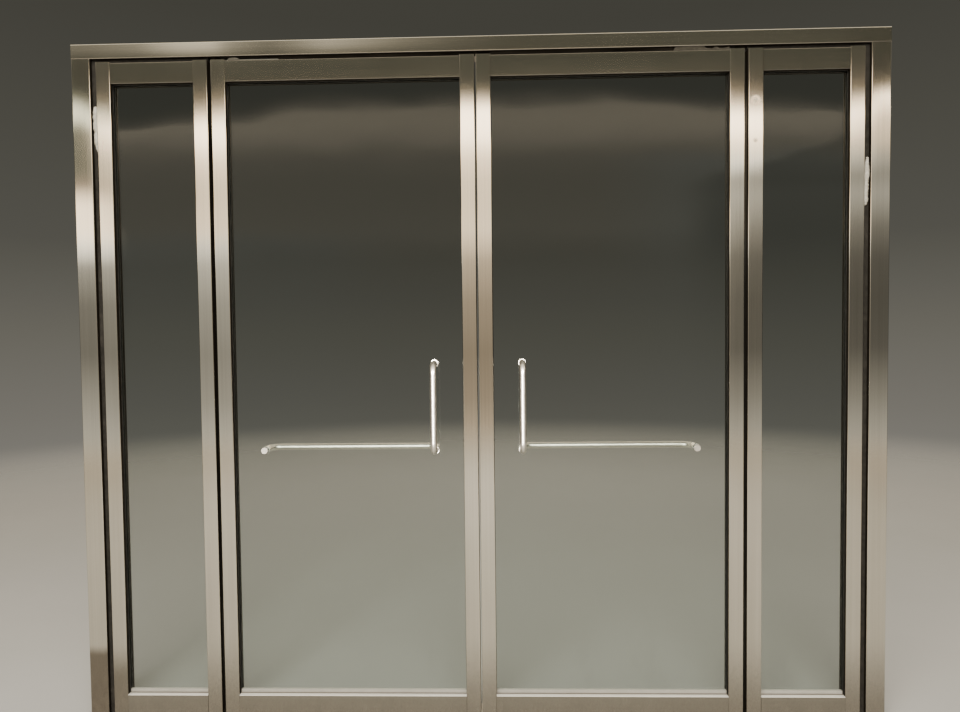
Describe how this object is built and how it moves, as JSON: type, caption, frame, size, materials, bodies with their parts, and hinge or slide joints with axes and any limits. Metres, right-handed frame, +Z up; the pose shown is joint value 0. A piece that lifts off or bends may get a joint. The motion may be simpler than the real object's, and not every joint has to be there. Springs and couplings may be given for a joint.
{
  "type": "glass entrance door",
  "caption": "Stainless-framed glass entrance door: swinging leaves on floor pivots between fixed sidelights, with tube pull handles and push bars.",
  "frame": {"origin": "on the floor line, midway between the two leaves, in the middle plane of the glass", "axes": "+X to the right seen from the street, +Y inwards through the doorway, +Z up"},
  "size_m": [2.771, 0.174, 2.401],
  "materials": {
    "panel_steel": "hairline brushed along each stile and rail",
    "frame_steel": "hairline brushed folded sheet",
    "floor_steel": "scuffed satin sheet",
    "handle_steel": "satin polished tube",
    "clear_glass": "clear toughened glass with a slight green edge",
    "black_rubber": "matt extruded rubber",
    "black_plastic": "moulded packer",
    "old_sealant": "dusty cured sealant",
    "clear_nylon": "translucent moulded bush",
    "plated_steel": "dull zinc-plated forging",
    "primed_steel": "red oxide primer on tube",
    "galvanised_steel": "galvanised sheet",
    "closer_casting": "grey enamelled casting"
  },
  "bodies": {
    "frame": {"header_cladding": "frame_steel", "header_beam": "primed_steel", "threshold": "floor_steel", "recess_seals": "black_rubber", "sidelight_packers": "black_plastic", "recess_sealant_lumps": "old_sealant", "sidelight_setting_blocks": "black_plastic", "cover_plate_screws": "plated_steel", "left_jamb_cladding": "frame_steel", "left_jamb_post": "primed_steel", "left_floor_spring_box": "galvanised_steel", "left_floor_spring_body": "closer_casting", "left_floor_cover_plate": "floor_steel", "left_top_pivot_bracket": "plated_steel", "left_sidelight_outer_stile": "panel_steel", "left_sidelight_inner_stile": "panel_steel", "left_sidelight_top_rail": "panel_steel", "left_sidelight_bottom_rail": "panel_steel", "left_sidelight_glass": "clear_glass", "left_sidelight_gasket": "black_rubber", "right_jamb_cladding": "frame_steel", "right_jamb_post": "primed_steel", "right_floor_spring_box": "galvanised_steel", "right_floor_spring_body": "closer_casting", "right_floor_cover_plate": "floor_steel", "right_top_pivot_bracket": "plated_steel", "right_sidelight_outer_stile": "panel_steel", "right_sidelight_inner_stile": "panel_steel", "right_sidelight_top_rail": "panel_steel", "right_sidelight_bottom_rail": "panel_steel", "right_sidelight_glass": "clear_glass", "right_sidelight_gasket": "black_rubber"},
    "left_leaf": {"left_leaf_hinge_stile": "panel_steel", "left_leaf_meeting_stile": "panel_steel", "left_leaf_top_rail": "panel_steel", "left_leaf_bottom_rail": "panel_steel", "left_leaf_glass": "clear_glass", "left_leaf_gasket": "black_rubber", "left_leaf_setting_blocks": "black_plastic", "left_leaf_pull_handle": "handle_steel", "left_leaf_push_bar": "handle_steel", "left_leaf_handle_bushes": "clear_nylon", "left_leaf_handle_studs": "handle_steel", "left_leaf_bottom_arm": "plated_steel", "left_leaf_spindle": "plated_steel", "left_leaf_top_pivot_socket": "plated_steel"},
    "right_leaf": {"right_leaf_hinge_stile": "panel_steel", "right_leaf_meeting_stile": "panel_steel", "right_leaf_top_rail": "panel_steel", "right_leaf_bottom_rail": "panel_steel", "right_leaf_glass": "clear_glass", "right_leaf_gasket": "black_rubber", "right_leaf_setting_blocks": "black_plastic", "right_leaf_pull_handle": "handle_steel", "right_leaf_push_bar": "handle_steel", "right_leaf_handle_bushes": "clear_nylon", "right_leaf_handle_studs": "handle_steel", "right_leaf_bottom_arm": "plated_steel", "right_leaf_spindle": "plated_steel", "right_leaf_top_pivot_socket": "plated_steel"}
  },
  "joints": [
    {"name": "left_leaf_swing", "type": "hinge", "parent": "frame", "child": "left_leaf", "pos_m": [-0.8335, 0, 0], "axis": [0, 0, -1], "range_deg": [0, 90], "stiffness_Nm_per_rad": 8, "springref_deg": -28.65},
    {"name": "right_leaf_swing", "type": "hinge", "parent": "frame", "child": "right_leaf", "pos_m": [0.8335, 0, 0], "axis": [0, 0, 1], "range_deg": [0, 90], "stiffness_Nm_per_rad": 8, "springref_deg": -28.65}
  ]
}
